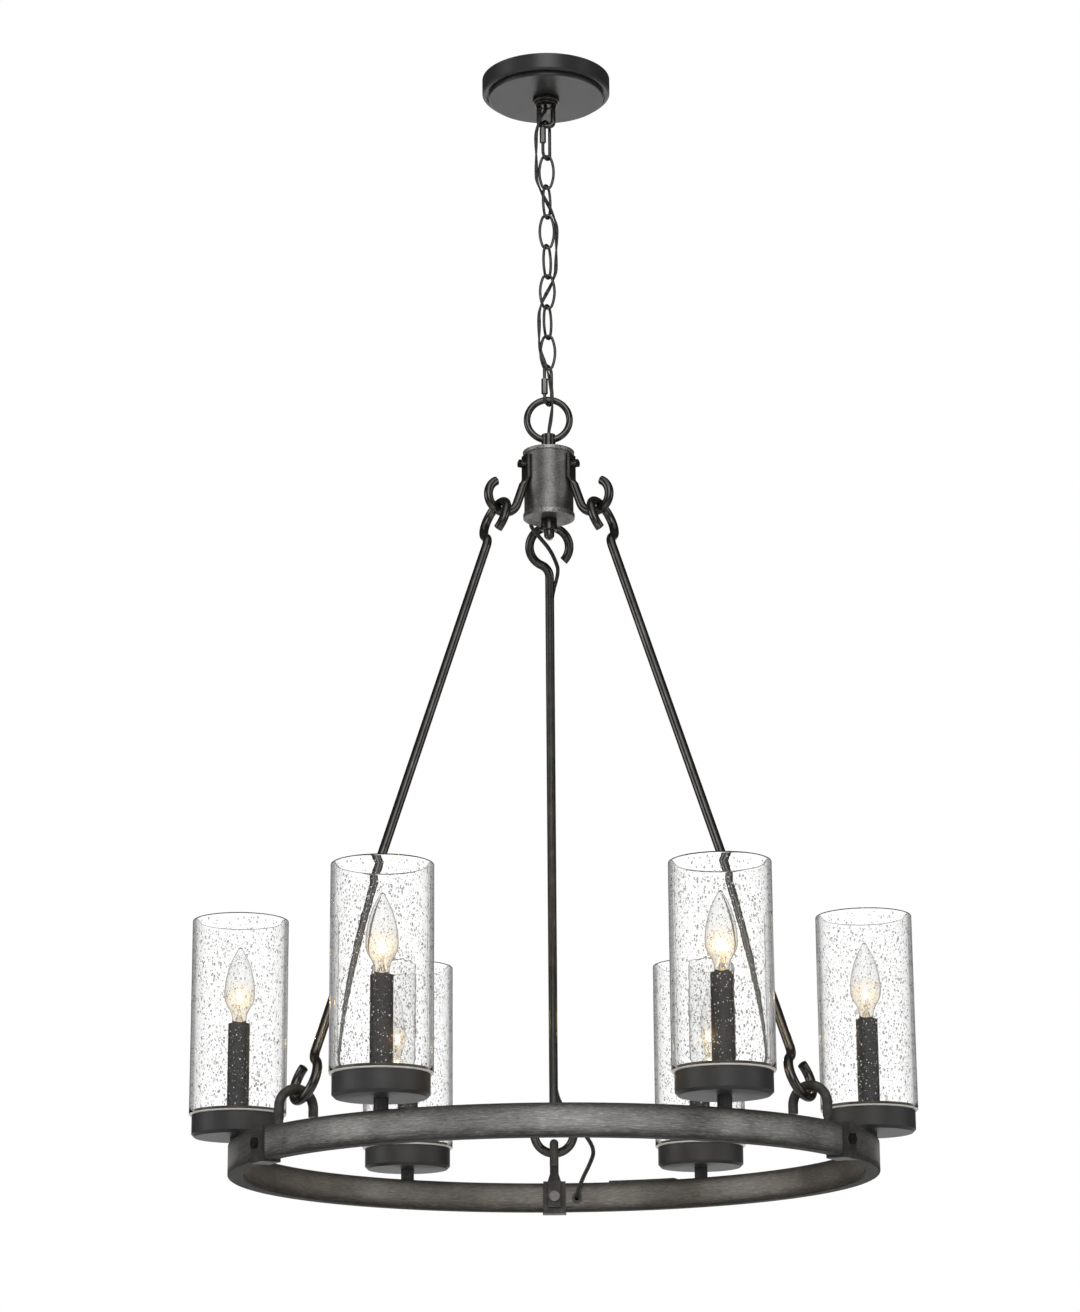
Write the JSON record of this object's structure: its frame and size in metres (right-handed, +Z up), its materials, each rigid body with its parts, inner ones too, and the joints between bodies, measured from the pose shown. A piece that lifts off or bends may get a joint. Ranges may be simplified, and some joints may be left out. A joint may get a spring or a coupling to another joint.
{
  "type": "outdoor chandelier",
  "caption": "Hanging ring chandelier for outdoors: seeded-glass candle lamps on a metal ring, carried by hooked rods from a hub on a chain under a round ceiling canopy.",
  "frame": {"origin": "centre of the crossbar's slot pattern, in the plane where crossbar and canopy rim meet the ceiling", "axes": "+Z up out of the ceiling side, -Y towards the viewer of the picture, +X to the viewer's right"},
  "size_m": [0.7324, 0.6567, 1.1967],
  "materials": {
    "canopy_paint": "matt black paint",
    "dark_bronze": "semi-gloss black bronze",
    "brushed_gunmetal": "brushed and weathered dark grey",
    "zinc_steel": "zinc plated",
    "lamp_paint": "matt charcoal paint",
    "seeded_glass": "clear with small bubbles",
    "bulb_glass": "clear",
    "socket_plastic": "matt",
    "black_rubber": "satin"
  },
  "bodies": {
    "canopy": {"canopy_shell": "canopy_paint", "crossbar": "zinc_steel", "canopy_pipe": "zinc_steel", "crossbar_fasteners": "zinc_steel", "canopy_stirrup": "dark_bronze", "canopy_collar": "dark_bronze", "supply_cord": "black_rubber"},
    "top_quick_link": {"top_quick_link": "dark_bronze", "top_quick_link_sleeve": "dark_bronze"},
    "link_1": {"chain_link_1": "dark_bronze"},
    "link_2": {"chain_link_2": "dark_bronze"},
    "link_3": {"chain_link_3": "dark_bronze"},
    "link_4": {"chain_link_4": "dark_bronze"},
    "link_5": {"chain_link_5": "dark_bronze"},
    "link_6": {"chain_link_6": "dark_bronze"},
    "link_7": {"chain_link_7": "dark_bronze"},
    "low_quick_link": {"low_quick_link": "dark_bronze", "low_quick_link_sleeve": "dark_bronze"},
    "hub": {"hub_loop": "dark_bronze", "hub_tube": "brushed_gunmetal", "hub_cap": "brushed_gunmetal", "hub_base": "brushed_gunmetal", "hub_pipe": "zinc_steel", "hub_finial": "dark_bronze", "hub_hooks": "dark_bronze", "hub_bolts": "dark_bronze", "hub_bushing": "black_rubber"},
    "rod_back": {"rod_back": "dark_bronze", "feed_wire": "black_rubber"},
    "rod_left": {"rod_left": "dark_bronze"},
    "rod_right": {"rod_right": "dark_bronze"},
    "ring": {"ring_tube": "brushed_gunmetal", "wiring_cover": "dark_bronze", "ring_clips": "dark_bronze", "ring_hooks": "dark_bronze", "clip_bolts": "dark_bronze", "ring_grommet": "black_rubber", "lamp_stems": "lamp_paint", "lamp_pipes": "zinc_steel", "lamp_sockets": "socket_plastic", "candle_tubes": "lamp_paint", "cup_1": "lamp_paint", "cup_2": "lamp_paint", "cup_3": "lamp_paint", "cup_4": "lamp_paint", "cup_5": "lamp_paint", "cup_6": "lamp_paint", "glass_1": "seeded_glass", "glass_2": "seeded_glass", "glass_3": "seeded_glass", "glass_4": "seeded_glass", "glass_5": "seeded_glass", "glass_6": "seeded_glass"},
    "bulb_1": {"bulb_1": "bulb_glass"},
    "bulb_2": {"bulb_2": "bulb_glass"},
    "bulb_3": {"bulb_3": "bulb_glass"},
    "bulb_4": {"bulb_4": "bulb_glass"},
    "bulb_5": {"bulb_5": "bulb_glass"},
    "bulb_6": {"bulb_6": "bulb_glass"}
  },
  "joints": [
    {"name": "top_quick_link_swing", "type": "hinge", "parent": "canopy", "child": "top_quick_link", "pos_m": [0, 0, -0.0538], "axis": [1, 0, 0], "range_deg": [-10, 10], "deforming": ["supply_cord"]},
    {"name": "link_1_swing", "type": "hinge", "parent": "top_quick_link", "child": "link_1", "pos_m": [0, 0, -0.09295], "axis": [0.5, 0.866, 0], "range_deg": [-10, 10], "deforming": ["supply_cord"]},
    {"name": "link_2_swing", "type": "hinge", "parent": "link_1", "child": "link_2", "pos_m": [0, 0, -0.1274], "axis": [1, 0, 0], "range_deg": [-10, 10], "deforming": ["supply_cord"]},
    {"name": "link_3_swing", "type": "hinge", "parent": "link_2", "child": "link_3", "pos_m": [0, 0, -0.1621], "axis": [0.5, 0.866, 0], "range_deg": [-10, 10], "deforming": ["supply_cord"]},
    {"name": "link_4_swing", "type": "hinge", "parent": "link_3", "child": "link_4", "pos_m": [0, 0, -0.1968], "axis": [1, 0, 0], "range_deg": [-10, 10], "deforming": ["supply_cord"]},
    {"name": "link_5_swing", "type": "hinge", "parent": "link_4", "child": "link_5", "pos_m": [0, 0, -0.2315], "axis": [0.5, 0.866, 0], "range_deg": [-10, 10], "deforming": ["supply_cord"]},
    {"name": "link_6_swing", "type": "hinge", "parent": "link_5", "child": "link_6", "pos_m": [0, 0, -0.2662], "axis": [1, 0, 0], "range_deg": [-10, 10], "deforming": ["supply_cord"]},
    {"name": "link_7_swing", "type": "hinge", "parent": "link_6", "child": "link_7", "pos_m": [0, 0, -0.3009], "axis": [0.5, 0.866, 0], "range_deg": [-10, 10], "deforming": ["supply_cord"]},
    {"name": "low_quick_link_swing", "type": "hinge", "parent": "link_7", "child": "low_quick_link", "pos_m": [0, 0, -0.3356], "axis": [1, 0, 0], "range_deg": [-10, 10], "deforming": ["supply_cord"]},
    {"name": "hub_swing", "type": "hinge", "parent": "low_quick_link", "child": "hub", "pos_m": [0, 0, -0.37605], "axis": [0.5, 0.866, 0], "range_deg": [-10, 10], "deforming": ["supply_cord"]},
    {"name": "ring_twist", "type": "hinge", "parent": "hub", "child": "ring", "pos_m": [0, 0, -1.14219], "axis": [0, 0, 1], "range_deg": [-3, 3], "stiffness_Nm_per_rad": 2.3, "deforming": ["feed_wire"]},
    {"name": "rod_back_swing", "type": "hinge", "parent": "hub", "child": "rod_back", "pos_m": [0, 0.06103, -0.5032], "axis": [0, 0.9434, 0.3316], "range_deg": [-1.6, 1.6], "deforming": ["feed_wire"]},
    {"name": "rod_left_swing", "type": "hinge", "parent": "hub", "child": "rod_left", "pos_m": [-0.05286, -0.03052, -0.5032], "axis": [-0.817, -0.4717, 0.3316], "range_deg": [-1.6, 1.6]},
    {"name": "rod_right_swing", "type": "hinge", "parent": "hub", "child": "rod_right", "pos_m": [0.05286, -0.03052, -0.5032], "axis": [0.817, -0.4717, 0.3316], "range_deg": [-1.6, 1.6]},
    {"name": "bulb_1_turn", "type": "hinge", "parent": "ring", "child": "bulb_1", "pos_m": [0.3173, 0, -1.03779], "axis": [0, 0, 1], "range_deg": [0, 1080]},
    {"name": "bulb_2_turn", "type": "hinge", "parent": "ring", "child": "bulb_2", "pos_m": [0.15865, 0.27479, -1.03779], "axis": [0, 0, 1], "range_deg": [0, 1080]},
    {"name": "bulb_3_turn", "type": "hinge", "parent": "ring", "child": "bulb_3", "pos_m": [-0.15865, 0.27479, -1.03779], "axis": [0, 0, 1], "range_deg": [0, 1080]},
    {"name": "bulb_4_turn", "type": "hinge", "parent": "ring", "child": "bulb_4", "pos_m": [-0.3173, 0, -1.03779], "axis": [0, 0, 1], "range_deg": [0, 1080]},
    {"name": "bulb_5_turn", "type": "hinge", "parent": "ring", "child": "bulb_5", "pos_m": [-0.15865, -0.27479, -1.03779], "axis": [0, 0, 1], "range_deg": [0, 1080]},
    {"name": "bulb_6_turn", "type": "hinge", "parent": "ring", "child": "bulb_6", "pos_m": [0.15865, -0.27479, -1.03779], "axis": [0, 0, 1], "range_deg": [0, 1080]}
  ],
  "couplings": [
    {"joint": "rod_back_swing", "follows": "ring_twist", "ratio": 0.42274},
    {"joint": "rod_left_swing", "follows": "ring_twist", "ratio": 0.42274},
    {"joint": "rod_right_swing", "follows": "ring_twist", "ratio": 0.42274}
  ]
}
